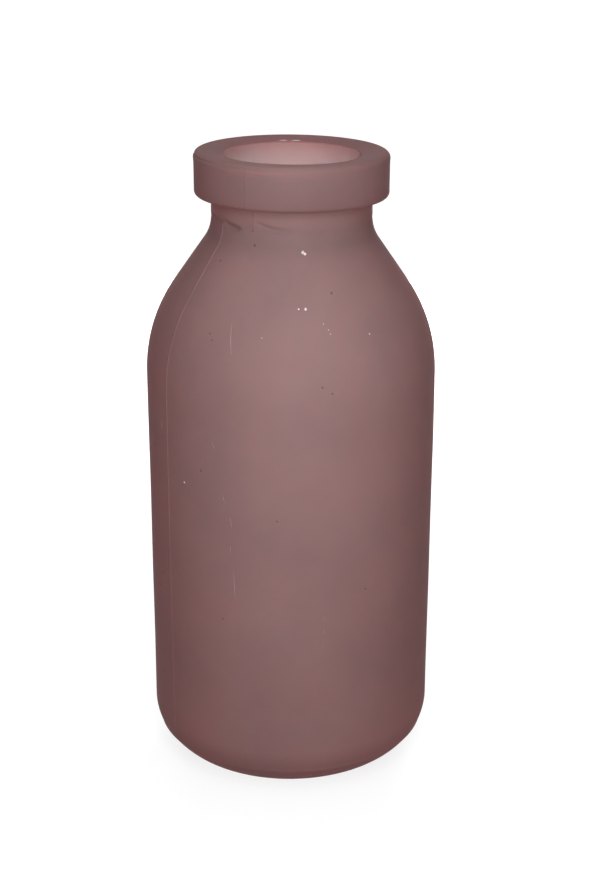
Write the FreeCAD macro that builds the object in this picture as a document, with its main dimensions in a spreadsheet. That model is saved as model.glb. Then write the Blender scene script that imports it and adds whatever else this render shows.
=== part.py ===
import FreeCAD, Part
import math
import os

import Sketcher

# A half-pint milk bottle of moulded glass with a thin frosted coat on its outside.
# Millimetres, +Z up along the bottle's axis, origin at the centre of the face it stands on.

# Driving dimensions: alias, value, what it measures
SIZES = (
    ("height", 139.7, "glass, from the bearing ring to the crest of the lip"),
    ("body_diameter", 64.2, "glass, outside the straight wall"),
    ("neck_diameter", 35.0, "glass, outside the neck below the cap ring"),
    ("ring_overhang", 3.6, "how far the cap ring stands out from the neck"),
    ("ring_height", 9.5, "cap ring, from its underside to the crest of the lip"),
    ("neck_length", 4.5, "straight neck below the cap ring"),
    ("neck_fillet", 8.9, "hollow curve from the neck into the shoulder"),
    ("shoulder_slope", 34.7, "degrees between the shoulder's cone and the axis"),
    ("shoulder_radius", 34.4, "round curve from the shoulder into the wall"),
    ("heel_radius", 11.3, "round curve from the wall into the base"),
    ("lip_round", 1.4, "outer rounding of the lip"),
    ("lip_drop", 0.7, "height of the crest above the mouth's edge"),
    ("under_round", 1.0, "lower rounding of the cap ring"),
    ("mouth_flare", 0.3, "how much wider the mouth's edge is than the bore, on each side"),
    ("throat_depth", 5.5, "taper from the mouth's edge down to the straight bore"),
    ("wall", 2.8, "glass thickness of the wall and shoulder"),
    ("neck_wall", 2.8, "glass thickness of the neck"),
    ("base_thickness", 6.0, "floor of the inside above the bearing ring"),
    ("bearing_width", 3.4, "flat ring that the bottle stands on"),
    ("push_up", 3.0, "height of the hollow under the base"),
    ("coat", 0.1, "thickness of the frosted coat"),
    ("coat_hem", 0.6, "height at which the coat stops above the bearing ring"),
)

# Lengths worked out from the sizes above, written once for all outlines
BODY = "(sizes.body_diameter / 2)"
NECK = "(sizes.neck_diameter / 2)"
BORE = f"({NECK} - sizes.neck_wall)"
MOUTH = f"({BORE} + sizes.mouth_flare)"
RING = f"({NECK} + sizes.ring_overhang)"
CREST = f"({RING} - sizes.lip_round)"
MOUTH_LEVEL = "(sizes.height - sizes.lip_drop)"
RING_LEVEL = "(sizes.height - sizes.ring_height)"
NECK_LEVEL = f"({RING_LEVEL} - sizes.neck_length)"
LIP_FALL = f"((({CREST} - {MOUTH}) ^ 2 + sizes.lip_drop ^ 2) / (2 * sizes.lip_drop))"
BEARING_OUT = f"({BODY} - sizes.heel_radius)"
BEARING_IN = f"({BEARING_OUT} - sizes.bearing_width)"
SLOPE = "sizes.shoulder_slope"

# How a sketch numbers the points of a link, and its own two axes
START, END, CENTRE = range(1, 4)
H_AXIS, V_AXIS = range(-1, -3, -1)
ORIGIN = (H_AXIS, START)

doc = FreeCAD.newDocument("milk_bottle")


def make_sheet():
    """Spreadsheet of the driving dimensions."""
    sheet = doc.addObject("Spreadsheet::Sheet", "sizes")
    for row, (alias, value, meaning) in enumerate(SIZES, start=1):
        sheet.set(f"A{row}", alias)
        sheet.set(f"B{row}", str(value))
        sheet.set(f"C{row}", meaning)
        sheet.setAlias(f"B{row}", alias)
    doc.recompute()
    return sheet


def measure(expression):
    """Present value of an expression of the sheet's sizes."""
    result = sheet.evalExpression(expression)
    return float(getattr(result, "Value", result))


class Outline:
    """Half section of a round solid: a closed chain of lines and arcs beside the axis."""

    def __init__(self, body, name):
        self.sketch = body.newObject("Sketcher::SketchObject", name)
        planes = [plane for plane in body.Origin.OriginFeatures if plane.Role == "XZ_Plane"]
        self.sketch.AttachmentSupport = [(planes[0], "")]
        self.sketch.MapMode = "FlatFace"
        self.chain = []

    def line(self, start, end):
        """Straight link from one (radius, height) point to the next."""
        points = [FreeCAD.Vector(radius, height, 0) for radius, height in (start, end)]
        index = self.sketch.addGeometry(Part.LineSegment(*points), False)
        self.chain.append((index, START, END))
        return index

    def arc(self, centre, start, end, turns_left):
        """Round link about a centre, turning left or right along the chain."""
        radius = math.dist(centre, start)
        circle = Part.Circle(FreeCAD.Vector(*centre, 0), FreeCAD.Vector(0, 0, 1), radius)
        angles = [math.atan2(height - centre[1], across - centre[0]) for across, height in (start, end)]
        if turns_left:
            index = self.sketch.addGeometry(Part.ArcOfCircle(circle, *angles), False)
            self.chain.append((index, START, END))
        else:
            index = self.sketch.addGeometry(Part.ArcOfCircle(circle, *reversed(angles)), False)
            self.chain.append((index, END, START))
        return index

    def join(self, smooth):
        """Close the chain; links named in smooth run on from the link before without a corner."""
        for here, after in zip(self.chain, self.chain[1:] + self.chain[:1]):
            kind = "Tangent" if after[0] in smooth else "Coincident"
            self.sketch.addConstraint(Sketcher.Constraint(kind, here[0], here[2], after[0], after[1]))

    def first(self, index):
        """Point at which a link starts along the chain."""
        return index, self.chain[index][1]

    def last(self, index):
        """Point at which a link ends along the chain."""
        return index, self.chain[index][2]

    def rule(self, kind, *items):
        """Geometric rule without a size."""
        self.sketch.addConstraint(Sketcher.Constraint(kind, *items))

    def size(self, kind, *items, by):
        """Sized rule that follows an expression of the sheet's sizes."""
        value = measure(by)
        if kind == "Angle":
            value = math.radians(value)
        index = self.sketch.addConstraint(Sketcher.Constraint(kind, *items, value))
        name = f"size_{index}"
        self.sketch.renameConstraint(index, name)
        self.sketch.setExpression(f".Constraints.{name}", by)

    def radius_at(self, point, by):
        """Distance of a point from the axis."""
        self.size("DistanceX", *ORIGIN, *point, by=by)

    def height_at(self, point, by):
        """Height of a point above the bearing ring."""
        self.size("DistanceY", *ORIGIN, *point, by=by)

    def turn(self, body, kind, name):
        """Turn the section about the axis: a Revolution adds it and a Groove cuts it away."""
        feature = body.newObject(f"PartDesign::{kind}", name)
        feature.Profile = self.sketch
        feature.ReferenceAxis = (self.sketch, ["V_Axis"])
        feature.Angle = 360.0
        doc.recompute()
        return feature


def slope_point(centre, radius, side):
    """Point where an arc runs into the shoulder's cone, on the axis side (-1) or away from it (1)."""
    slope = math.radians(measure(SLOPE))
    return centre[0] + side * radius * math.cos(slope), centre[1] + side * radius * math.sin(slope)


def shoulder_rise(wall_radius, neck_radius, arcs):
    """Height that the shoulder takes up between wall and neck, from its two arc radii added up."""
    slope = math.radians(measure(SLOPE))
    across = wall_radius - neck_radius - arcs * (1 - math.cos(slope))
    return arcs * math.sin(slope) + across / math.tan(slope)


def draw_outside(body, name, skin):
    """Outside of the bottle, with a skin of the given thickness on it; the bare glass has none."""
    outline = Outline(body, name)
    bare = skin == "0"
    thick = measure(skin)
    wall_radius = measure(BODY) + thick
    neck_radius = measure(NECK) + thick
    ring_radius = measure(RING) + thick
    heel = measure("sizes.heel_radius")
    shoulder = measure("sizes.shoulder_radius") + thick
    fillet = measure("sizes.neck_fillet") - thick
    under = measure("sizes.under_round") + thick
    lip = measure("sizes.lip_round") + thick
    fall = measure(LIP_FALL) + thick
    foot_level = "0" if bare else "sizes.coat_hem"
    foot = measure(foot_level)
    neck_level = measure(NECK_LEVEL)
    ring_level = measure(RING_LEVEL) - thick
    crest_level = measure("sizes.height") + thick
    mouth_level = measure(MOUTH_LEVEL)
    wall_top = neck_level - shoulder_rise(wall_radius, neck_radius, shoulder + fillet)

    heel_centre = (measure(BEARING_OUT), heel)
    shoulder_centre = (wall_radius - shoulder, wall_top)
    fillet_centre = (neck_radius + fillet, neck_level)
    crest = (measure(CREST), crest_level)
    fall_centre = (crest[0], crest_level - fall)
    foot_end = (heel_centre[0] + math.sqrt((heel + thick) ** 2 - (heel - foot) ** 2), foot)
    cone_low = slope_point(shoulder_centre, shoulder, 1)
    cone_high = slope_point(fillet_centre, fillet, -1)
    mouth_edge = (crest[0] - math.sqrt(fall ** 2 - (mouth_level - fall_centre[1]) ** 2), mouth_level)

    base = outline.line((0, foot), foot_end)
    heel_arc = outline.arc(heel_centre, foot_end, (wall_radius, heel), True)
    wall = outline.line((wall_radius, heel), (wall_radius, wall_top))
    shoulder_arc = outline.arc(shoulder_centre, (wall_radius, wall_top), cone_low, True)
    cone = outline.line(cone_low, cone_high)
    fillet_arc = outline.arc(fillet_centre, cone_high, (neck_radius, neck_level), False)
    neck = outline.line((neck_radius, neck_level), (neck_radius, ring_level))
    under_face = outline.line((neck_radius, ring_level), (ring_radius - under, ring_level))
    under_centre = (ring_radius - under, ring_level + under)
    ring_foot = (ring_radius, under_centre[1])
    under_arc = outline.arc(under_centre, (ring_radius - under, ring_level), ring_foot, True)
    ring = outline.line(ring_foot, (ring_radius, crest_level - lip))
    lip_arc = outline.arc((crest[0], crest_level - lip), (ring_radius, crest_level - lip), crest, True)
    fall_arc = outline.arc(fall_centre, crest, mouth_edge, True)
    plug = outline.line(mouth_edge, (0, mouth_level))
    outline.line((0, mouth_level), (0, foot))

    smooth = {wall, shoulder_arc, cone, fillet_arc, neck, under_arc, ring, lip_arc, fall_arc}
    if bare:
        smooth.add(heel_arc)
    outline.join(smooth)
    for upright in (wall, neck, ring):
        outline.rule("Vertical", upright)
    for level in (base, under_face, plug):
        outline.rule("Horizontal", level)
    for end in (outline.first(base), outline.last(plug)):
        outline.rule("PointOnObject", *end, V_AXIS)
    outline.rule("Vertical", lip_arc, CENTRE, *outline.last(lip_arc))
    if bare:
        outline.rule("PointOnObject", *outline.first(base), H_AXIS)
    else:
        outline.height_at(outline.first(base), foot_level)
        outline.height_at((heel_arc, CENTRE), "sizes.heel_radius")
    outline.radius_at(outline.first(wall), f"{BODY} + {skin}")
    outline.radius_at(outline.first(neck), f"{NECK} + {skin}")
    outline.radius_at(outline.first(ring), f"{RING} + {skin}")
    outline.height_at(outline.first(neck), NECK_LEVEL)
    outline.height_at(outline.last(neck), f"{RING_LEVEL} - {skin}")
    outline.height_at(outline.last(lip_arc), f"sizes.height + {skin}")
    outline.height_at(outline.last(plug), MOUTH_LEVEL)
    outline.size("Radius", heel_arc, by=f"sizes.heel_radius + {skin}")
    outline.size("Radius", shoulder_arc, by=f"sizes.shoulder_radius + {skin}")
    outline.size("Angle", cone, by=f"90 + {SLOPE}")
    outline.size("Radius", fillet_arc, by=f"sizes.neck_fillet - {skin}")
    outline.size("Radius", under_arc, by=f"sizes.under_round + {skin}")
    outline.size("Radius", lip_arc, by=f"sizes.lip_round + {skin}")
    outline.size("Radius", fall_arc, by=f"{LIP_FALL} + {skin}")
    return outline


def draw_inside(body, name):
    """Inside of the bottle: tapered throat, straight bore, shoulder, wall and floor."""
    outline = Outline(body, name)
    shoulder_by = "sizes.shoulder_radius - sizes.wall"
    fillet_by = "sizes.neck_fillet + sizes.neck_wall"
    heel_by = "sizes.heel_radius - sizes.wall"
    shoulder = measure(shoulder_by)
    fillet = measure(fillet_by)
    heel = measure(heel_by)
    wall_radius = measure(f"{BODY} - sizes.wall")
    bore_radius = measure(BORE)
    mouth_level = measure(MOUTH_LEVEL)
    bore_level = measure(f"{MOUTH_LEVEL} - sizes.throat_depth")
    neck_level = measure(NECK_LEVEL)
    floor_level = measure("sizes.base_thickness")
    wall_top = neck_level - shoulder_rise(wall_radius, bore_radius, shoulder + fillet)
    wall_foot = floor_level + heel

    shoulder_centre = (wall_radius - shoulder, wall_top)
    fillet_centre = (bore_radius + fillet, neck_level)
    cone_low = slope_point(shoulder_centre, shoulder, 1)
    cone_high = slope_point(fillet_centre, fillet, -1)
    floor_edge = (wall_radius - heel, floor_level)
    mouth_edge = (measure(MOUTH), mouth_level)

    floor = outline.line((0, floor_level), floor_edge)
    heel_arc = outline.arc((floor_edge[0], wall_foot), floor_edge, (wall_radius, wall_foot), True)
    wall = outline.line((wall_radius, wall_foot), (wall_radius, wall_top))
    shoulder_arc = outline.arc(shoulder_centre, (wall_radius, wall_top), cone_low, True)
    cone = outline.line(cone_low, cone_high)
    fillet_arc = outline.arc(fillet_centre, cone_high, (bore_radius, neck_level), False)
    bore = outline.line((bore_radius, neck_level), (bore_radius, bore_level))
    throat = outline.line((bore_radius, bore_level), mouth_edge)
    plug = outline.line(mouth_edge, (0, mouth_level))
    outline.line((0, mouth_level), (0, floor_level))

    outline.join({heel_arc, wall, shoulder_arc, cone, fillet_arc, bore})
    for upright in (wall, bore):
        outline.rule("Vertical", upright)
    for level in (floor, plug):
        outline.rule("Horizontal", level)
    for end in (outline.first(floor), outline.last(plug)):
        outline.rule("PointOnObject", *end, V_AXIS)
    outline.radius_at(outline.first(wall), f"{BODY} - sizes.wall")
    outline.radius_at(outline.first(bore), BORE)
    outline.radius_at(outline.last(throat), MOUTH)
    outline.height_at(outline.first(floor), "sizes.base_thickness")
    outline.height_at(outline.first(bore), NECK_LEVEL)
    outline.height_at(outline.last(bore), f"{MOUTH_LEVEL} - sizes.throat_depth")
    outline.height_at(outline.last(plug), MOUTH_LEVEL)
    outline.size("Radius", heel_arc, by=heel_by)
    outline.size("Radius", shoulder_arc, by=shoulder_by)
    outline.size("Angle", cone, by=f"90 + {SLOPE}")
    outline.size("Radius", fillet_arc, by=fillet_by)
    return outline


def draw_push_up(body, name):
    """Shallow dome under the base, inside the bearing ring."""
    outline = Outline(body, name)
    edge = measure(BEARING_IN)
    rise = measure("sizes.push_up")
    dome_radius = (edge ** 2 + rise ** 2) / (2 * rise)

    ground = outline.line((0, 0), (edge, 0))
    dome = outline.arc((0, rise - dome_radius), (edge, 0), (0, rise), True)
    axis = outline.line((0, rise), (0, 0))

    outline.join(set())
    outline.rule("Coincident", *outline.first(ground), *ORIGIN)
    outline.rule("Horizontal", ground)
    outline.rule("Vertical", axis)
    outline.rule("PointOnObject", dome, CENTRE, V_AXIS)
    outline.radius_at(outline.last(ground), BEARING_IN)
    outline.height_at(outline.last(dome), "sizes.push_up")
    return outline


def make_body(label):
    """Sub-part with its own label and place."""
    body = doc.addObject("PartDesign::Body", label)
    body.Label = label
    body.Placement = FreeCAD.Placement()
    return body


def make_glass():
    """Moulded glass: the solid outside, hollowed by the inside and by the dome under the base."""
    body = make_body("glass_bottle")
    steps = [draw_outside(body, "glass_outside", "0").turn(body, "Revolution", "moulded_outside")]
    steps.append(draw_inside(body, "glass_inside").turn(body, "Groove", "blown_inside"))
    steps.append(draw_push_up(body, "base_dome").turn(body, "Groove", "pushed_up_base"))
    return body, steps


def make_coat():
    """Frosted coat: the outside grown by the coat, with the bare glass taken out of it."""
    body = make_body("frosted_coat")
    steps = [draw_outside(body, "coat_outside", "sizes.coat").turn(body, "Revolution", "coated_outside")]
    steps.append(draw_outside(body, "coat_lining", "0").turn(body, "Groove", "glass_space"))
    return body, steps


def check(body, steps):
    """Stop on a failed feature, a cut that removed nothing or a sub-part that isn't one sound solid."""
    for item in doc.Objects:
        if {"Invalid", "Error"} & set(item.State):
            raise RuntimeError(f"{item.Name} failed: {item.State}")
    for before, after in zip(steps, steps[1:]):
        if after.Shape.Volume >= before.Shape.Volume:
            raise RuntimeError(f"{after.Name} cut nothing away")
    if body.Shape.isNull() or not body.Shape.isValid() or len(body.Shape.Solids) != 1:
        raise RuntimeError(f"{body.Label} isn't one sound solid")


sheet = make_sheet()
made = [make_glass(), make_coat()]
doc.recompute()
for body, steps in made:
    check(body, steps)

os.makedirs("parts", exist_ok=True)
for body, _ in made:
    body.Shape.exportStep(f"parts/{body.Label}.step")
    print(body.Label, round(body.Shape.Volume, 1), "cubic mm")
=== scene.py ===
import bisect
import math
import random

import bmesh
import bpy
from mathutils import Matrix, Vector


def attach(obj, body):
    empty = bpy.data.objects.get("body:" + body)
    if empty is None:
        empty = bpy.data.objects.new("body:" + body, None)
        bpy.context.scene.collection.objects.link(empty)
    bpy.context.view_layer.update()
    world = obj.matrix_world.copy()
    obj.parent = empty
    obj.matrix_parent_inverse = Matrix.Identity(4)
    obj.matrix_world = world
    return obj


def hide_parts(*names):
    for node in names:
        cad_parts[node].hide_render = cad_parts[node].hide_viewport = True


# A small milk bottle of moulded glass with a frosted rose coat, standing on a pale floor.
# Lengths are in millimetres unless metres are named, and angles in degrees unless radians are named.
# Azimuth 0 is the side that faces the camera, and grows towards +X.

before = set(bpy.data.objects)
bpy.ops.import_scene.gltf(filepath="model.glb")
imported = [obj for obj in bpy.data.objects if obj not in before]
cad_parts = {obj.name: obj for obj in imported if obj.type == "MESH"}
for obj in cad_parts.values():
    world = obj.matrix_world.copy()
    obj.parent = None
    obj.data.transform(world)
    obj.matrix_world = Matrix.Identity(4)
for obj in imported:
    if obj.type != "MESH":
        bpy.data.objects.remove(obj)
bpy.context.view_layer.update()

# Metres in a millimetre
MM = 0.001

# Sizes of the glass, as in the part's own source
HEIGHT = 139.7
BODY_RADIUS = 32.1
NECK_RADIUS = 17.5
RING_OVERHANG = 3.6
RING_HEIGHT = 9.5
NECK_LENGTH = 4.5
NECK_FILLET = 8.9
SHOULDER_SLOPE = 34.7
SHOULDER_RADIUS = 34.4
HEEL_RADIUS = 11.3
LIP_ROUND = 1.4
LIP_DROP = 0.7
UNDER_ROUND = 1.0
MOUTH_FLARE = 0.3
THROAT_DEPTH = 5.5
WALL = 2.8
NECK_WALL = 2.8
BASE_THICKNESS = 6.0
BEARING_WIDTH = 3.4
PUSH_UP = 3.0
COAT = 0.1
COAT_HEM = 0.6

# Thickness of the drawn coat, which leaves a small gap to the drawn glass
COAT_THICKNESS = 0.07

# Levels and radii that follow from the sizes
RING_RADIUS = NECK_RADIUS + RING_OVERHANG
BORE_RADIUS = NECK_RADIUS - NECK_WALL
MOUTH_RADIUS = BORE_RADIUS + MOUTH_FLARE
CREST_RADIUS = RING_RADIUS - LIP_ROUND
BEARING_RADIUS = BODY_RADIUS - HEEL_RADIUS
RING_LEVEL = HEIGHT - RING_HEIGHT
NECK_LEVEL = RING_LEVEL - NECK_LENGTH
MOUTH_LEVEL = HEIGHT - LIP_DROP
LIP_FALL = ((CREST_RADIUS - MOUTH_RADIUS) ** 2 + LIP_DROP ** 2) / (2 * LIP_DROP)

# Spacing of the mesh along the sections
SKIN_STEP = 1.3
INSIDE_STEP = 1.2
UNDER_STEP = 1.0
FOOT_STEP = 0.6

# How much finer or coarser than its section's step a stretch is divided
HEEL_FINENESS = 4
FILLET_FINENESS = 5
NECK_FINENESS = 5
UNDER_FINENESS = 4
RING_FINENESS = 1.7
LIP_FINENESS = 6
FALL_FINENESS = 4
WALL_COARSENESS = 2.5
INSIDE_WALL_COARSENESS = 4
FLOOR_COARSENESS = 3
DOME_COARSENESS = 2

# Spacing of the mesh round the bottle, and its closer columns beside each seam
COLUMN_SPACING = 2.0
SEAM_COLUMNS = (0.16, 0.32, 0.5, 0.75, 1.1)
SEAM_CLEARANCE = 0.6

# Edges that turn by more than this stay sharp
SHARP_ANGLE = 40.0

# Points this close are one point, and heights this close are one height
SAME_POINT = 1e-6
SAME_LEVEL = 0.01

# Seams that the mould leaves on the body and the neck ring, and where they fade at the heel and the lip
BODY_SEAMS = (-56.5, 123.5)
RING_SEAMS = (-26.5, 153.5)
SEAM_HALF_WIDTH = 0.34
BODY_SEAM_HEIGHT = 0.10
RING_SEAM_HEIGHT = 0.08
FADE_ABOVE_BASE_LINE = 3.0
FADE_BELOW_LIP = (0.2, 1.2)

# Line where the neck ring met the mould, as turns past a ring seam with heights
PARTING_LINE = (
    (0.0, 127.2),
    (8.5, 126.45),
    (14.0, 126.0),
    (22.0, 125.85),
    (46.5, 125.8),
    (82.5, 125.5),
    (118.0, 125.8),
    (133.0, 127.0),
    (149.5, 126.5),
    (158.5, 125.8),
    (166.5, 125.55),
    (180.0, 125.5),
)
PARTING_DEPTH = 0.05
PARTING_HALF_WIDTH = 0.7
PARTING_WIDENING = 0.4
PARTING_OFFSET = 0.1
PARTING_CLEARANCE = 1.0
# Low step above the line, as a share of its depth, with heights where it begins, is full, ebbs and ends
PARTING_STEP = 0.22
PARTING_STEP_LEVELS = (-0.2, 0.6, 0.6, 2.2)
# More depth past a ring seam and before the next, with turns where it begins, is full, ebbs and ends
DEEPER_PAST_SEAM = 0.42
PAST_SEAM_TURNS = (1, 4, 12, 30)
DEEPER_BEFORE_SEAM = 0.72
BEFORE_SEAM_TURNS = (124, 158, 163, 171)

# Ridge round the foot of the heel
BASE_LINE_LEVEL = 5.9
BASE_LINE_HEIGHT = 0.16
BASE_LINE_HALF_WIDTH = 0.6

# Shallow groove on the rounded outer edge of the lip, at the left of the front
LIP_LINE_DROP = 0.95
LIP_LINE_TILT = 0.2
LIP_LINE_LOW_SIDE = 115.0
LIP_LINE_MIDDLE = -50.0
LIP_LINE_ENDS = (30, 55)
LIP_LINE_DEPTH = 0.22
LIP_LINE_HALF_WIDTH = 0.42

# Slow waves in the wall, each a count round the bottle, a rise per radian, a phase in radians and a share
WAVE_HEIGHT = 0.035
WAVES = (
    (2, 19.0, 0.0, 1.0),
    (3, -13.0, 1.3, 0.7),
    (5, 7.0, 2.1, 0.5),
)
# Ripple up the wall, as a rise per radian, with the count and the radians of its sway round the bottle
RIPPLE_RISE = 5.5
RIPPLE_SWAYS = 2
RIPPLE_SWAY = 0.6
RIPPLE_SHARE = 0.4
WAVE_PEAK = RIPPLE_SHARE + sum(wave[-1] for wave in WAVES)
# Heights where the waves begin, are full, ebb and end
WAVE_LEVELS = (COAT_HEM, 4.0, HEIGHT - 2.5, HEIGHT - 0.5)

# Marks seen on the front, each an azimuth, a height and a radius: glossy lacquer nibs, whose pale colour
# is a painted glint, and dark specks
NIB_GLINTS = (
    (7.10, 121.62, 0.34),
    (8.40, 121.34, 0.30),
    (3.18, 111.41, 0.20),
    (6.41, 111.39, 0.29),
    (13.82, 108.56, 0.15),
    (15.66, 107.40, 0.14),
    (16.30, 106.63, 0.14),
    (34.00, 105.71, 0.16),
    (-12.32, 105.95, 0.14),
    (-45.72, 72.07, 0.20),
)
DARK_SPECKS = (
    (-27.80, 125.40, 0.28),
    (-25.20, 122.60, 0.30),
    (20.28, 114.00, 0.30),
    (11.54, 96.20, 0.24),
    (15.29, 94.81, 0.24),
    (-36.72, 75.94, 0.28),
    (30.00, 49.36, 0.24),
    (-27.62, 42.61, 0.24),
    (-5.48, 66.83, 0.24),
)
NIB_HEIGHT = 0.10
SPECK_HEIGHT = 0.05

# Scratches seen on the front, each a path of azimuths and heights
SCRATCHES = (
    ((-26.78, 108.51), (-25.40, 104.60), (-23.71, 101.20)),
    ((-31.44, 83.16), (-29.61, 80.96)),
    ((-27.22, 71.76), (-25.83, 69.53)),
    ((-23.96, 67.09), (-23.13, 64.01)),
    ((-23.92, 60.40), (-23.90, 58.27)),
    ((-22.69, 55.00), (-22.20, 47.83)),
    ((-60.28, 84.24), (-60.98, 81.49)),
    ((12.67, 44.60), (12.72, 43.20)),
    ((12.72, 41.40), (12.70, 40.20)),
    ((12.40, 37.90), (12.35, 37.00)),
)
SCRATCH_HALF_WIDTH = 0.09
SCRATCH_HEIGHT = 0.03
SCRATCH_SPACING = 1.0
SCRATCH_END = 0.15

# Glossy beads on the lip at the back, whose pale colour is a painted glint, each an azimuth, a radius on
# the lip and half its length
LIP_GLINT_BEADS = (
    (187.5, 15.30, 1.0),
    (176.5, 15.30, 1.1),
)
LIP_BEAD_HALF_WIDTH = 0.22

# Seeded specks all round but for the middle of the front, in ranges of azimuth, height and radius
STRAY_SPECKS = 70
STRAY_SEED = 7
STRAY_AZIMUTHS = (60, 330)
STRAY_LEVELS = (14, 120)
STRAY_SIZES = (0.10, 0.22)

# Rings of a dome above its foot, as shares of its radius and height, and how deep a mark sits in the coat
DOME_SIDES = 10
DOME_RINGS = ((0.75, 0.6), (0.4, 0.92))
FOOT_DEPTH = 0.02
ROOT_DEPTH = 0.03

# Painted shade on the coat by height: darker over the cap ring, darkest at its lower edge above the neck,
# and in a band at the hollow below the neck; as heights with a factor for red, green and blue
PAINTED_SHADE_START = 119.5
PAINTED_SHADE_TONES = (
    (PAINTED_SHADE_START, (1.0, 1.0, 1.0)),
    (122.5, (0.88, 0.89, 0.89)),
    (125.6, (0.88, 0.89, 0.89)),
    (128.0, (1.0, 1.0, 1.0)),
    (129.9, (0.92, 0.88, 0.88)),
    (130.8, (0.78, 0.72, 0.72)),
    (135.6, (0.86, 0.84, 0.84)),
    (HEIGHT, (0.92, 0.92, 0.92)),
)

# Colours, each a darker and a lighter tone
COAT_FACE = ((0.285, 0.247, 0.247), (0.33, 0.285, 0.285))
COAT_DEPTH = ((0.72, 0.115, 0.115), (0.80, 0.135, 0.135))
BACK_FACE = ((0.44, 0.64, 0.64), (0.54, 0.74, 0.74))
BACK_DEPTH = ((0.93, 0.88, 0.88), (0.97, 0.93, 0.93))
GLASS_TINT = ((0.54, 0.745, 0.745), (0.58, 0.775, 0.775))
# Pale colour of the lacquer nibs and lip beads, a painted glint
PALE_GLINT_LACQUER = ((0.56, 0.48, 0.48), (0.68, 0.60, 0.60))
DARK_DUST = ((0.17, 0.09, 0.09), (0.23, 0.13, 0.13))
WORN_LACQUER = ((0.45, 0.33, 0.33), (0.53, 0.40, 0.40))
TONE_STOPS = (0.3, 0.7)
WHITE = (1.0, 1.0, 1.0, 1)
FLOOR_GREY = (0.22, 0.22, 0.22, 1)

# Scales of the unevenness in the materials, and the roughness that follows from it
COAT_MOTTLE = 45.0
COAT_GRAIN = 1900.0
COAT_GRAIN_DEPTH = 0.2
BACK_MOTTLE = 60.0
GLASS_HAZE = 160.0
MARK_MOTTLE = 900.0
COAT_ROUGHNESS = (0.52, 0.66)
GLASS_ROUGHNESS = (0.68, 0.82)

# Share of light from behind that the two faces of the coat pass on
COAT_LETS_THROUGH = 0.5
BACK_LETS_THROUGH = 0.6

# Camera, fitted to the outline in the photograph's frame of 600 by 888 pixels, with angles in radians
FRAME_WIDTH = 600
FRAME_HEIGHT = 888
CAMERA_DISTANCE = 357.55
CAMERA_HEIGHT = 200.68
CAMERA_PITCH = 0.346
CAMERA_YAW = 0.050
CAMERA_ROLL = 0.018
FOCAL_PIXELS = 1665.75
PRINCIPAL_X = 370.0
PRINCIPAL_Y = 449.0
SENSOR = 36.0
CLIP_START = 10.0

# Strength of the even light from all round
AMBIENT = 0.06

# Floor, in metres, and how far it is lifted to white for the camera, near the bottle and far off
FLOOR_RADIUS = 6.0
FLOOR_SIDES = 128
LIFT_START = 0.05
LIFT_END = 0.6
LIFT_NEAR = 0.82
LIFT_FAR = 1.0

# Lamps: name, place, the point that it faces, width and height, all in metres, and power in watts
LAMPS = (
    ("key", (0.004, -0.16, 0.148), (0.0, 0.0, 0.10), (0.04, 0.21), 0.315),
    ("top", (0.0, -0.05, 0.90), (0.0, 0.0, 0.10), (0.8, 0.8), 2.7),
    ("back_left", (-0.12, 0.43, 0.09), (0.0, 0.0, 0.07), (0.16, 0.16), 1.6),
    ("back_right", (0.12, 0.43, 0.09), (0.0, 0.0, 0.07), (0.16, 0.16), 3.8),
)


def arc(centre, radius, start, end, step):
    """Points of an arc in the half section, from one angle to another."""
    count = max(2, math.ceil(abs(math.radians(end - start)) * radius / step))
    angles = [math.radians(start + (end - start) * i / count) for i in range(count + 1)]
    return [(centre[0] + radius * math.cos(a), centre[1] + radius * math.sin(a)) for a in angles]


def run(start, end, step):
    """Points of a straight stretch in the half section."""
    count = max(1, math.ceil(math.dist(start, end) / step))
    return [tuple(a + (b - a) * i / count for a, b in zip(start, end)) for i in range(count + 1)]


def chain(*stretches):
    """One list of points from stretches, where a point that two stretches share is kept once."""
    points = list(stretches[0])
    for stretch in stretches[1:]:
        points += stretch[1:] if math.dist(points[-1], stretch[0]) < SAME_POINT else stretch
    return points


def shoulder_points(wall_radius, neck_radius, round_radius, fillet, step):
    """Section from the top of the wall to the foot of the neck."""
    slope = math.radians(SHOULDER_SLOPE)
    arcs = round_radius + fillet
    across = wall_radius - neck_radius - arcs * (1 - math.cos(slope))
    foot = NECK_LEVEL - arcs * math.sin(slope) - across / math.tan(slope)
    convex = arc((wall_radius - round_radius, foot), round_radius, 0, SHOULDER_SLOPE, step)
    hollow_centre = (neck_radius + fillet, NECK_LEVEL)
    hollow = arc(hollow_centre, fillet, 180 + SHOULDER_SLOPE, 180, step / FILLET_FINENESS)
    return chain(convex, run(convex[-1], hollow[0], step), hollow)


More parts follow.
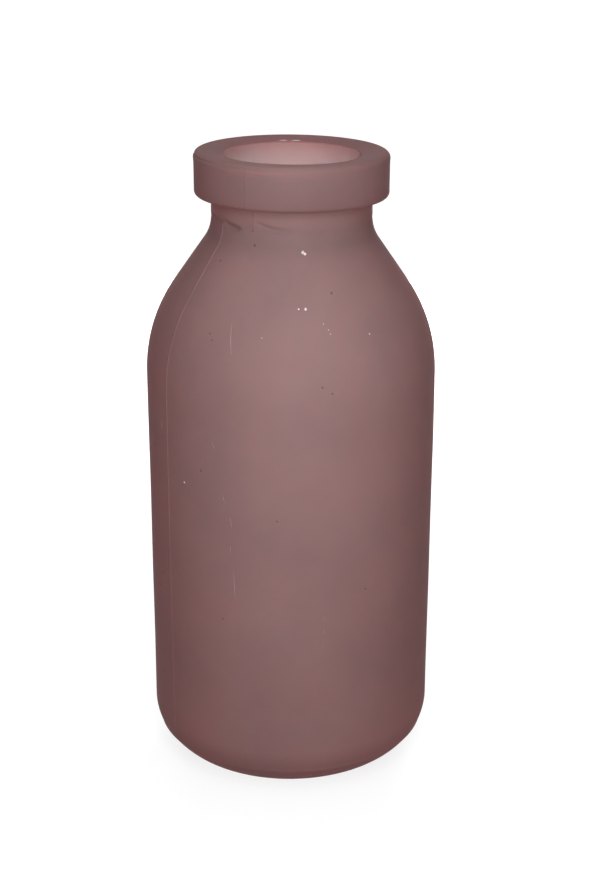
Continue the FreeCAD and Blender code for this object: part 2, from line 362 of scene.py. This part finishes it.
def outside_points():
    """Section of the coat's outer face, from its hem on the heel up to the mouth's edge."""
    step = SKIN_STEP
    wall_radius = BODY_RADIUS + COAT
    neck_radius = NECK_RADIUS + COAT
    hem_angle = -math.degrees(math.asin((HEEL_RADIUS - COAT_HEM) / (HEEL_RADIUS + COAT)))
    heel = arc((BEARING_RADIUS, HEEL_RADIUS), HEEL_RADIUS + COAT, hem_angle, 0, step / HEEL_FINENESS)
    shoulder = shoulder_points(wall_radius, neck_radius, SHOULDER_RADIUS + COAT, NECK_FILLET - COAT, step)
    neck = run(shoulder[-1], (neck_radius, RING_LEVEL - COAT), step / NECK_FINENESS)
    under_centre = (RING_RADIUS - UNDER_ROUND, RING_LEVEL + UNDER_ROUND)
    under = arc(under_centre, UNDER_ROUND + COAT, -90, 0, step / UNDER_FINENESS)
    lip = arc((CREST_RADIUS, HEIGHT - LIP_ROUND), LIP_ROUND + COAT, 0, 90, step / LIP_FINENESS)
    drop_angle = 90 + math.degrees(math.acos((MOUTH_LEVEL - HEIGHT + LIP_FALL) / (LIP_FALL + COAT)))
    fall = arc((CREST_RADIUS, HEIGHT - LIP_FALL), LIP_FALL + COAT, 90, drop_angle, step / FALL_FINENESS)
    return chain(
        heel,
        run(heel[-1], shoulder[0], step * WALL_COARSENESS),
        shoulder,
        neck,
        run(neck[-1], under[0], step),
        under,
        run(under[-1], lip[0], step / RING_FINENESS),
        lip,
        fall,
    )


def inside_points():
    """Section of the inside from the mouth's edge down to the middle of the floor."""
    step = INSIDE_STEP
    wall_radius = BODY_RADIUS - WALL
    heel_radius = HEEL_RADIUS - WALL
    heel_centre = (wall_radius - heel_radius, BASE_THICKNESS + heel_radius)
    round_radius = SHOULDER_RADIUS - WALL
    shoulder = shoulder_points(wall_radius, BORE_RADIUS, round_radius, NECK_FILLET + NECK_WALL, step)
    shoulder.reverse()
    heel = arc(heel_centre, heel_radius, 0, -90, step)
    bore_top = (BORE_RADIUS, MOUTH_LEVEL - THROAT_DEPTH)
    return chain(
        run((MOUTH_RADIUS, MOUTH_LEVEL), bore_top, step),
        run(bore_top, shoulder[0], step),
        shoulder,
        run(shoulder[-1], heel[0], step * INSIDE_WALL_COARSENESS),
        heel,
        run(heel[-1], (0.0, BASE_THICKNESS), step * FLOOR_COARSENESS),
    )


def under_points():
    """Section of the underside from the middle of the dome out to the bearing ring's outer edge."""
    bearing_in = BEARING_RADIUS - BEARING_WIDTH
    dome_radius = (bearing_in ** 2 + PUSH_UP ** 2) / (2 * PUSH_UP)
    dome_centre = (0.0, PUSH_UP - dome_radius)
    edge_angle = math.degrees(math.acos(bearing_in / dome_radius))
    dome = arc(dome_centre, dome_radius, 90, edge_angle, UNDER_STEP * DOME_COARSENESS)
    return chain(dome, run((bearing_in, 0.0), (BEARING_RADIUS, 0.0), UNDER_STEP))


def foot_points():
    """Section of the bare heel from the bearing ring up to the coat's hem."""
    hem_angle = -math.degrees(math.asin((HEEL_RADIUS - COAT_HEM) / HEEL_RADIUS))
    return arc((BEARING_RADIUS, HEEL_RADIUS), HEEL_RADIUS, -90, hem_angle, FOOT_STEP)


def normals(points):
    """Outward direction at each point of a section that runs upwards along the outside."""
    found = []
    for i in range(len(points)):
        before = points[max(i - 1, 0)]
        after = points[min(i + 1, len(points) - 1)]
        across = after[0] - before[0]
        up = after[1] - before[1]
        length = math.hypot(across, up)
        found.append((up / length, -across / length))
    return found


def place(radius, azimuth, level):
    """Point in metres at a radius, an azimuth and a height."""
    angle = math.radians(azimuth)
    return Vector((radius * math.sin(angle), -radius * math.cos(angle), level)) * MM


def turn_between(azimuth, other):
    """Signed angle to an azimuth from another one."""
    return (azimuth - other + 180.0) % 360.0 - 180.0


def ramp(value, start, end):
    """Smooth step from 0 at start to 1 at end."""
    t = min(1.0, max(0.0, (value - start) / (end - start)))
    return t * t * (3 - 2 * t)


def plateau(value, begin, full, ebb, end):
    """Smooth rise from 0 to 1, and a smooth fall back to 0."""
    return ramp(value, begin, full) * (1 - ramp(value, ebb, end))


def bump(distance, half_width):
    """Rounded ridge of height 1 that ends at half_width."""
    t = abs(distance) / half_width
    return (1 - t * t) ** 2 if t < 1 else 0.0


def past_ring_seam(azimuth):
    """Turn from the last ring seam."""
    return (azimuth - RING_SEAMS[0]) % 180.0


def parting_height(azimuth):
    """Height of the line where the neck ring met the mould, with a step at each ring seam."""
    past_seam = past_ring_seam(azimuth)
    for (turn, level), (next_turn, next_level) in zip(PARTING_LINE, PARTING_LINE[1:]):
        if past_seam <= next_turn:
            return level + (next_level - level) * ramp(past_seam, turn, next_turn)
    return PARTING_LINE[-1][1]


def parting_depth(azimuth):
    """Depth of the parting line, deepest a little off either side of the ring seams."""
    past_seam = past_ring_seam(azimuth)
    after = DEEPER_PAST_SEAM * plateau(past_seam, *PAST_SEAM_TURNS)
    before = DEEPER_BEFORE_SEAM * plateau(past_seam, *BEFORE_SEAM_TURNS)
    return PARTING_DEPTH + after + before


def seam_ridge(seams, radius, azimuth):
    """Share of a seam's height at a point, from 0 off the seams to 1 on top of one."""
    nearest = min(abs(turn_between(azimuth, seam)) for seam in seams)
    return bump(math.radians(nearest) * radius, SEAM_HALF_WIDTH)


def parting_groove(azimuth, level, line):
    """Groove along the parting line, and the low step above it."""
    depth = parting_depth(azimuth)
    groove = depth * bump(level - line + PARTING_OFFSET, PARTING_HALF_WIDTH + PARTING_WIDENING * depth)
    step = PARTING_STEP * depth * plateau(level - line, *PARTING_STEP_LEVELS)
    return step - groove


def lip_groove(azimuth, level):
    """Shallow groove on the lip's outer edge, strongest at the left of the front."""
    line = HEIGHT - LIP_LINE_DROP - LIP_LINE_TILT * math.cos(math.radians(azimuth - LIP_LINE_LOW_SIDE))
    off_middle = abs(turn_between(azimuth, LIP_LINE_MIDDLE))
    fade = 1 - ramp(off_middle, *LIP_LINE_ENDS)
    return -LIP_LINE_DEPTH * fade * bump(level - line, LIP_LINE_HALF_WIDTH)


def mould_traces(radius, azimuth, level):
    """How far the mould's traces stand out from the smooth outside."""
    line = parting_height(azimuth)
    if level < line:
        fade = ramp(level, BASE_LINE_LEVEL, BASE_LINE_LEVEL + FADE_ABOVE_BASE_LINE)
        out = BODY_SEAM_HEIGHT * fade * seam_ridge(BODY_SEAMS, radius, azimuth)
    else:
        fade = ramp(HEIGHT - level, *FADE_BELOW_LIP)
        out = RING_SEAM_HEIGHT * fade * seam_ridge(RING_SEAMS, radius, azimuth)
    if level < RING_LEVEL - PARTING_CLEARANCE:
        out += parting_groove(azimuth, level, line)
        out += BASE_LINE_HEIGHT * bump(level - BASE_LINE_LEVEL, BASE_LINE_HALF_WIDTH)
    if radius > CREST_RADIUS:
        out += lip_groove(azimuth, level)
    return out


def hand_waves(azimuth, level):
    """Slow unevenness of blown glass, which never stands out from the smooth outside."""
    angle = math.radians(azimuth)
    sway = RIPPLE_SWAY * math.sin(RIPPLE_SWAYS * angle)
    waves = RIPPLE_SHARE * math.sin(level / RIPPLE_RISE + sway)
    for count, rise, phase, share in WAVES:
        waves += share * math.sin(count * angle + level / rise + phase)
    return WAVE_HEIGHT * (waves - WAVE_PEAK)


def mesh_columns():
    """Azimuths of the mesh columns, closer together at the seams."""
    seams = BODY_SEAMS + RING_SEAMS
    offsets = [0.0] + [side * gap for gap in SEAM_COLUMNS for side in (-1, 1)]
    fine = [(seam + offset) % 360.0 for seam in seams for offset in offsets]
    plain = [i * COLUMN_SPACING for i in range(round(360 / COLUMN_SPACING))]
    reach = SEAM_COLUMNS[-1] + SEAM_CLEARANCE
    kept = [a for a in plain if min(abs(turn_between(a, seam)) for seam in seams) > reach]
    return sorted(fine + kept)


def new_piece(name, verts, faces, material):
    """Mesh object that rides on the bottle."""
    mesh = bpy.data.meshes.new(name)
    mesh.from_pydata(verts, [], faces)
    mesh.validate()
    for polygon in mesh.polygons:
        polygon.use_smooth = True
    mesh.set_sharp_from_angle(angle=math.radians(SHARP_ANGLE))
    mesh.materials.append(material)
    piece = bpy.data.objects.new(name, mesh)
    bpy.context.scene.collection.objects.link(piece)
    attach(piece, "root")
    return piece


def ring_faces(first_row, last_row, columns, downwards=False):
    """Triangles between neighbouring rings, split along one diagonal whether the rings run up or down."""
    faces = []
    for row in range(first_row, last_row):
        for column in range(columns):
            here = row * columns + column
            beside = row * columns + (column + 1) % columns
            next_here = here + columns
            next_beside = beside + columns
            if downwards:
                faces += [(here, beside, next_here), (beside, next_beside, next_here)]
            else:
                faces += [(here, beside, next_beside), (here, next_beside, next_here)]
    return faces


def plain_rings(section, columns):
    """Rings of points round the bottle along a smooth section."""
    return [[place(radius, azimuth, level) for azimuth in columns] for radius, level in section]


def skin_rings(depth, columns):
    """Rings of points at a depth below the coat's outer face, from the hem up to the mouth's edge."""
    section = outside_points()
    rings = []
    for (radius, level), (n_across, n_up) in zip(section, normals(section)):
        wavy = plateau(level, *WAVE_LEVELS)
        ring = []
        for azimuth in columns:
            shift = mould_traces(radius, azimuth, level) + wavy * hand_waves(azimuth, level) - depth
            ring.append(place(radius + shift * n_across, azimuth, level + shift * n_up))
        rings.append(ring)
    return rings


def make_coat(material, back):
    """Frosted coat: a closed thin skin that follows the mould's traces."""
    columns = mesh_columns()
    count = len(columns)
    outer = skin_rings(0.0, columns)
    inner = skin_rings(COAT_THICKNESS, columns)
    rings = outer + inner[::-1]
    verts = [point for ring in rings for point in ring]
    faces = ring_faces(0, len(outer) - 1, count)
    front = len(faces)
    faces += ring_faces(len(outer) - 1, len(rings) - 1, count, downwards=True)
    last = (len(rings) - 1) * count
    faces += [(last + c, last + (c + 1) % count, (c + 1) % count, c) for c in range(count)]
    piece = new_piece("coat_skin", verts, faces, material)
    piece.data.materials.append(back)
    for polygon in piece.data.polygons[front:]:
        polygon.material_index = 1
    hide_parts("frosted_coat")


def make_glass(material):
    """Glass wall under the coat, with its hollow inside and the dome under the base."""
    columns = mesh_columns()
    count = len(columns)
    under = under_points()
    inner = inside_points()
    below = chain(under[1:], foot_points()[:-1])
    rings = plain_rings(below, columns) + skin_rings(COAT, columns) + plain_rings(inner[:-1], columns)
    verts = [point for ring in rings for point in ring]
    faces = ring_faces(0, len(rings) - 1, count)
    dome_tip = len(verts)
    verts.append(place(0.0, 0.0, under[0][1]))
    floor_tip = len(verts)
    verts.append(place(0.0, 0.0, inner[-1][1]))
    last = (len(rings) - 1) * count
    faces += [(dome_tip, (c + 1) % count, c) for c in range(count)]
    faces += [(floor_tip, last + c, last + (c + 1) % count) for c in range(count)]
    piece = new_piece("glass_wall", verts, faces, material)
    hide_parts("glass_bottle")


def face_section():
    """Section of the coat's outer face below the cap ring, and its outward directions."""
    points = outside_points()
    ring_underside = RING_LEVEL - COAT - SAME_LEVEL
    top = next(i for i, (radius, level) in enumerate(points) if level >= ring_underside)
    return points[:top], normals(points)[:top]


def section_row(points, level):
    """Index of the first point above a height in a rising section, kept within the section."""
    return min(max(1, bisect.bisect([z for radius, z in points], level)), len(points) - 1)


def on_face(section, azimuth, level, lift):
    """Point on the coat's outer face below the cap ring, raised by a lift."""
    points, outward = section
    row = section_row(points, level)
    (r0, z0), (r1, z1) = points[row - 1], points[row]
    radius = r0 + (r1 - r0) * (level - z0) / (z1 - z0)
    out = mould_traces(radius, azimuth, level) + hand_waves(azimuth, level) + lift
    n_across, n_up = outward[row]
    return place(radius + out * n_across, azimuth, level + out * n_up)


def face_radius(section, level):
    """Radius of the coat's outer face at a height below the cap ring."""
    points = section[0]
    return points[section_row(points, level)][0]


def on_lip(azimuth, radius, lift):
    """Point on the lip between its crest and the mouth's edge, raised by a lift."""
    reach = LIP_FALL + COAT + lift
    level = HEIGHT - LIP_FALL + math.sqrt(reach ** 2 - (CREST_RADIUS - radius) ** 2)
    return place(radius, azimuth, level)


def add_dome(verts, faces, spot, size, height):
    """Low closed dome that sits in the coat; the spot gives the point at a step across, up and out."""
    sides = DOME_SIDES
    start = len(verts)
    rings = [(1.0, -FOOT_DEPTH)] + [(share, lift * height) for share, lift in DOME_RINGS]
    for share, lift in rings:
        for i in range(sides):
            a = 2 * math.pi * i / sides
            verts.append(spot(share * size[0] * math.cos(a), share * size[1] * math.sin(a), lift))
    tip = len(verts)
    verts.append(spot(0.0, 0.0, height))
    root = len(verts)
    verts.append(spot(0.0, 0.0, -ROOT_DEPTH))
    for ring in range(len(DOME_RINGS)):
        low = start + ring * sides
        for i in range(sides):
            after = (i + 1) % sides
            faces.append((low + i, low + after, low + sides + after, low + sides + i))
    high = start + len(DOME_RINGS) * sides
    faces += [(high + i, high + (i + 1) % sides, tip) for i in range(sides)]
    faces += [(start + (i + 1) % sides, start + i, root) for i in range(sides)]


def make_domes(name, spots, lip_spots, height, material):
    """Piece with a round dome at every spot below the cap ring, and a long one at every lip spot."""
    section = face_section()
    verts = []
    faces = []
    for azimuth, level, size in spots:
        turn_per_mm = math.degrees(1 / face_radius(section, level))

        def spot(across, up, lift):
            return on_face(section, azimuth + across * turn_per_mm, level + up, lift)

        add_dome(verts, faces, spot, (size, size), height)
    for azimuth, radius, size in lip_spots:
        turn_per_mm = math.degrees(1 / radius)

        def lip_spot(across, up, lift):
            return on_lip(azimuth + across * turn_per_mm, radius + up, lift)

        add_dome(verts, faces, lip_spot, (size, LIP_BEAD_HALF_WIDTH), height)
    new_piece(name, verts, faces, material)


def scratch_path(line):
    """Closely spaced azimuths and heights along a scratch."""
    path = []
    for (a0, z0), (a1, z1) in zip(line, line[1:]):
        count = max(2, round(abs(z1 - z0) / SCRATCH_SPACING))
        path += [(a0 + (a1 - a0) * i / count, z0 + (z1 - z0) * i / count) for i in range(count)]
    return path + [line[-1]]


def tube_faces(low):
    """Three sides of one stretch of a three-sided tube."""
    return [(low + i, low + 3 + i, low + 3 + (i + 1) % 3, low + (i + 1) % 3) for i in range(3)]


def make_scratches(material):
    """Fine raised lines, closed and nearly pointed at both ends."""
    section = face_section()
    verts = []
    faces = []
    for line in SCRATCHES:
        path = scratch_path(line)
        start = len(verts)
        for i, (azimuth, level) in enumerate(path):
            taper = SCRATCH_END + (1 - SCRATCH_END) * math.sin(math.pi * i / (len(path) - 1))
            turn = math.degrees(SCRATCH_HALF_WIDTH * taper / face_radius(section, level))
            verts.append(on_face(section, azimuth - turn, level, -ROOT_DEPTH))
            verts.append(on_face(section, azimuth, level, SCRATCH_HEIGHT * taper))
            verts.append(on_face(section, azimuth + turn, level, -ROOT_DEPTH))
        faces += [face for i in range(len(path) - 1) for face in tube_faces(start + 3 * i)]
        end = start + 3 * (len(path) - 1)
        faces += [(start, start + 1, start + 2), (end + 2, end + 1, end)]
    new_piece("fine_scratches", verts, faces, material)


def stray_specks():
    """Seeded small specks all round but for the middle of the front."""
    chance = random.Random(STRAY_SEED)
    ranges = (STRAY_AZIMUTHS, STRAY_LEVELS, STRAY_SIZES)
    return tuple(tuple(chance.uniform(*span) for span in ranges) for _ in range(STRAY_SPECKS))


def node_material(name):
    """New node material, with its node tree and its Principled shader."""
    material = bpy.data.materials.new(name)
    material.use_nodes = True
    tree = material.node_tree
    return material, tree, tree.nodes["Principled BSDF"]


def object_noise(tree, scale, detail=2.0, roughness=0.5):
    """Noise over the object's own coordinates."""
    where = tree.nodes.new("ShaderNodeTexCoord")
    noise = tree.nodes.new("ShaderNodeTexNoise")
    noise.inputs["Scale"].default_value = scale
    noise.inputs["Detail"].default_value = detail
    noise.inputs["Roughness"].default_value = roughness
    tree.links.new(where.outputs["Object"], noise.inputs["Vector"])
    return noise.outputs["Fac"]


def two_tones(tree, value, tones):
    """Colour between a darker and a lighter tone by a value around one half."""
    blend = tree.nodes.new("ShaderNodeValToRGB")
    for element, position, colour in zip(blend.color_ramp.elements, TONE_STOPS, tones):
        element.position = position
        element.color = (*colour, 1)
    tree.links.new(value, blend.inputs["Fac"])
    return blend.outputs["Color"]


def spread(tree, value, low, high):
    """Value from 0 to 1 spread between two limits."""
    limits = tree.nodes.new("ShaderNodeMapRange")
    limits.inputs["To Min"].default_value = low
    limits.inputs["To Max"].default_value = high
    tree.links.new(value, limits.inputs["Value"])
    return limits.outputs["Result"]


def painted_shade_by_height(tree, colour):
    """Colour darkened by height as painted shade: over the cap ring, most at its lower edge, and at the
    hollow at the foot of the neck.
    """
    where = tree.nodes.new("ShaderNodeTexCoord")
    parts = tree.nodes.new("ShaderNodeSeparateXYZ")
    tree.links.new(where.outputs["Object"], parts.inputs["Vector"])
    level = tree.nodes.new("ShaderNodeMapRange")
    level.inputs["From Min"].default_value = PAINTED_SHADE_START * MM
    level.inputs["From Max"].default_value = HEIGHT * MM
    tree.links.new(parts.outputs["Z"], level.inputs["Value"])
    shade_ramp = tree.nodes.new("ShaderNodeValToRGB")
    stops = shade_ramp.color_ramp.elements
    stops[0].color = (*PAINTED_SHADE_TONES[0][1], 1)
    stops[1].color = (*PAINTED_SHADE_TONES[-1][1], 1)
    for height, tone in PAINTED_SHADE_TONES[1:-1]:
        stop = stops.new((height - PAINTED_SHADE_START) / (HEIGHT - PAINTED_SHADE_START))
        stop.color = (*tone, 1)
    tree.links.new(level.outputs["Result"], shade_ramp.inputs["Fac"])
    blend = tree.nodes.new("ShaderNodeMix")
    blend.data_type = "RGBA"
    blend.blend_type = "MULTIPLY"
    blend.inputs["Factor"].default_value = 1.0
    tree.links.new(colour, blend.inputs["A"])
    tree.links.new(shade_ramp.outputs["Color"], blend.inputs["B"])
    return blend.outputs["Result"]


def let_through(tree, shader, colour, share):
    """Mix a share of light from behind into a shader."""
    glow = tree.nodes.new("ShaderNodeBsdfTranslucent")
    tree.links.new(colour, glow.inputs["Color"])
    blend = tree.nodes.new("ShaderNodeMixShader")
    blend.inputs["Fac"].default_value = share
    tree.links.new(shader.outputs["BSDF"], blend.inputs[1])
    tree.links.new(glow.outputs["BSDF"], blend.inputs[2])
    tree.links.new(blend.outputs["Shader"], tree.nodes["Material Output"].inputs["Surface"])


def coat_material():
    """Frosted rose coat: its face scatters pale light back, and its body lets rose light through."""
    material, tree, shader = node_material("frosted_rose")
    mottle = object_noise(tree, COAT_MOTTLE, detail=6.0, roughness=0.62)
    face = two_tones(tree, mottle, COAT_FACE)
    # The face's colour carries the painted shade by height.
    tree.links.new(painted_shade_by_height(tree, face), shader.inputs["Base Color"])
    tree.links.new(spread(tree, mottle, *COAT_ROUGHNESS), shader.inputs["Roughness"])
    relief = tree.nodes.new("ShaderNodeBump")
    relief.inputs["Strength"].default_value = 0.12
    relief.inputs["Distance"].default_value = COAT_GRAIN_DEPTH * MM
    tree.links.new(object_noise(tree, COAT_GRAIN), relief.inputs["Height"])
    tree.links.new(relief.outputs["Normal"], shader.inputs["Normal"])
    shader.inputs["Specular IOR Level"].default_value = 0.12
    depth = two_tones(tree, mottle, COAT_DEPTH)
    # The rose light let through carries the same painted shade by height.
    let_through(tree, shader, painted_shade_by_height(tree, depth), COAT_LETS_THROUGH)
    return material


def coat_back_material():
    """Back of the coat against the glass, which passes on nearly all the light that comes through."""
    material, tree, shader = node_material("frosted_rose_back")
    mottle = object_noise(tree, BACK_MOTTLE)
    tree.links.new(two_tones(tree, mottle, BACK_FACE), shader.inputs["Base Color"])
    shader.inputs["Roughness"].default_value = 0.6
    let_through(tree, shader, two_tones(tree, mottle, BACK_DEPTH), BACK_LETS_THROUGH)
    return material


def glass_material():
    """Satin glass with a slight haze, which lets lamps through."""
    material, tree, shader = node_material("clear_glass")
    haze = object_noise(tree, GLASS_HAZE)
    tree.links.new(two_tones(tree, haze, GLASS_TINT), shader.inputs["Base Color"])
    tree.links.new(spread(tree, haze, *GLASS_ROUGHNESS), shader.inputs["Roughness"])
    shader.inputs["Transmission Weight"].default_value = 1.0
    shader.inputs["IOR"].default_value = 1.5
    clear = tree.nodes.new("ShaderNodeBsdfTransparent")
    path = tree.nodes.new("ShaderNodeLightPath")
    blend = tree.nodes.new("ShaderNodeMixShader")
    tree.links.new(path.outputs["Is Shadow Ray"], blend.inputs["Fac"])
    tree.links.new(shader.outputs["BSDF"], blend.inputs[1])
    tree.links.new(clear.outputs["BSDF"], blend.inputs[2])
    tree.links.new(blend.outputs["Shader"], tree.nodes["Material Output"].inputs["Surface"])
    return material


def mark_material(name, tones, roughness, gloss):
    """Slightly uneven surface of a mark on the coat."""
    material, tree, shader = node_material(name)
    mottle = object_noise(tree, MARK_MOTTLE)
    tree.links.new(two_tones(tree, mottle, tones), shader.inputs["Base Color"])
    shader.inputs["Roughness"].default_value = roughness
    shader.inputs["Specular IOR Level"].default_value = gloss
    return material


def seen_rays(tree):
    """1 for rays that show the background to the camera, directly, by reflection or through glass."""
    path = tree.nodes.new("ShaderNodeLightPath")
    either = path.outputs["Is Camera Ray"]
    for kind in ("Is Glossy Ray", "Is Transmission Ray"):
        larger = tree.nodes.new("ShaderNodeMath")
        larger.operation = "MAXIMUM"
        tree.links.new(either, larger.inputs[0])
        tree.links.new(path.outputs[kind], larger.inputs[1])
        either = larger.outputs[0]
    return either


def floor_material():
    """Pale matte floor, lifted to white for the camera, which keeps the bottle's shadow."""
    material, tree, shader = node_material("pale_floor")
    shader.inputs["Base Color"].default_value = FLOOR_GREY
    shader.inputs["Roughness"].default_value = 0.9
    shader.inputs["Specular IOR Level"].default_value = 0.1
    shader.inputs["Emission Color"].default_value = WHITE
    where = tree.nodes.new("ShaderNodeTexCoord")
    away = tree.nodes.new("ShaderNodeVectorMath")
    away.operation = "LENGTH"
    tree.links.new(where.outputs["Object"], away.inputs[0])
    lift = tree.nodes.new("ShaderNodeMapRange")
    lift.inputs["From Min"].default_value = LIFT_START
    lift.inputs["From Max"].default_value = LIFT_END
    lift.inputs["To Min"].default_value = LIFT_NEAR
    lift.inputs["To Max"].default_value = LIFT_FAR
    tree.links.new(away.outputs["Value"], lift.inputs["Value"])
    level = tree.nodes.new("ShaderNodeMath")
    level.operation = "MULTIPLY"
    tree.links.new(seen_rays(tree), level.inputs[0])
    tree.links.new(lift.outputs["Result"], level.inputs[1])
    tree.links.new(level.outputs["Value"], shader.inputs["Emission Strength"])
    return material


def make_floor(material):
    """Round floor under the bottle."""
    shape = bmesh.new()
    bmesh.ops.create_circle(shape, cap_ends=True, segments=FLOOR_SIDES, radius=FLOOR_RADIUS)
    mesh = bpy.data.meshes.new("floor")
    shape.to_mesh(mesh)
    shape.free()
    mesh.materials.append(material)
    floor = bpy.data.objects.new("floor", mesh)
    bpy.context.scene.collection.objects.link(floor)


def make_world():
    """Even pale surroundings: white to the camera, dimmer as light on the object."""
    world = bpy.data.worlds.new("studio")
    bpy.context.scene.world = world
    world.use_nodes = True
    tree = world.node_tree
    shade = tree.nodes["Background"]
    shade.inputs["Color"].default_value = WHITE
    tree.links.new(spread(tree, seen_rays(tree), AMBIENT, 1.0), shade.inputs["Strength"])


def make_lamp(name, where, target, size, power):
    """Soft lamp that faces a point; a lamp behind the bottle isn't mirrored in it."""
    lamp = bpy.data.lights.new(name, "AREA")
    lamp.shape = "RECTANGLE"
    lamp.size, lamp.size_y = size
    lamp.energy = power
    holder = bpy.data.objects.new(name, lamp)
    holder.location = where
    holder.visible_camera = False
    holder.visible_glossy = where[1] < 0.0
    holder.rotation_euler = (Vector(target) - Vector(where)).to_track_quat("-Z", "Y").to_euler()
    bpy.context.scene.collection.objects.link(holder)


def make_camera():
    """Camera at the photograph's viewing angle."""
    forward = Vector((
        math.sin(CAMERA_YAW) * math.cos(CAMERA_PITCH),
        math.cos(CAMERA_YAW) * math.cos(CAMERA_PITCH),
        -math.sin(CAMERA_PITCH),
    ))
    level = Vector((math.cos(CAMERA_YAW), -math.sin(CAMERA_YAW), 0.0))
    upright = level.cross(forward)
    right = math.cos(CAMERA_ROLL) * level + math.sin(CAMERA_ROLL) * upright
    up = -math.sin(CAMERA_ROLL) * level + math.cos(CAMERA_ROLL) * upright
    lens = bpy.data.cameras.new("camera")
    lens.sensor_width = SENSOR
    lens.lens = FOCAL_PIXELS * SENSOR / FRAME_HEIGHT
    lens.shift_x = (FRAME_WIDTH / 2 - PRINCIPAL_X) / FRAME_HEIGHT
    lens.shift_y = (PRINCIPAL_Y - FRAME_HEIGHT / 2) / FRAME_HEIGHT
    lens.clip_start = CLIP_START * MM
    camera = bpy.data.objects.new("camera", lens)
    turn = Matrix((right, up, -forward)).transposed()
    where = Vector((0.0, -CAMERA_DISTANCE, CAMERA_HEIGHT)) * MM
    camera.matrix_world = Matrix.Translation(where) @ turn.to_4x4()
    bpy.context.scene.collection.objects.link(camera)
    bpy.context.scene.camera = camera


make_camera()
make_world()
make_floor(floor_material())
for lamp in LAMPS:
    make_lamp(*lamp)
make_coat(coat_material(), coat_back_material())
make_glass(glass_material())
# The pale colour of the glossy nibs and lip beads is a painted glint; the dark dust and the worn lacquer
# of the scratches are the coat's own marks.
pale = mark_material("pale_glint_lacquer", PALE_GLINT_LACQUER, roughness=0.14, gloss=0.5)
dust = mark_material("dark_dust", DARK_DUST, roughness=0.8, gloss=0.05)
worn = mark_material("scratched_lacquer", WORN_LACQUER, roughness=0.6, gloss=0.1)
make_domes("lacquer_nibs_painted_glint", NIB_GLINTS, LIP_GLINT_BEADS, NIB_HEIGHT, pale)
make_domes("dust_specks", DARK_SPECKS + stray_specks(), (), SPECK_HEIGHT, dust)
make_scratches(worn)
bpy.context.scene.view_settings.view_transform = "Standard"
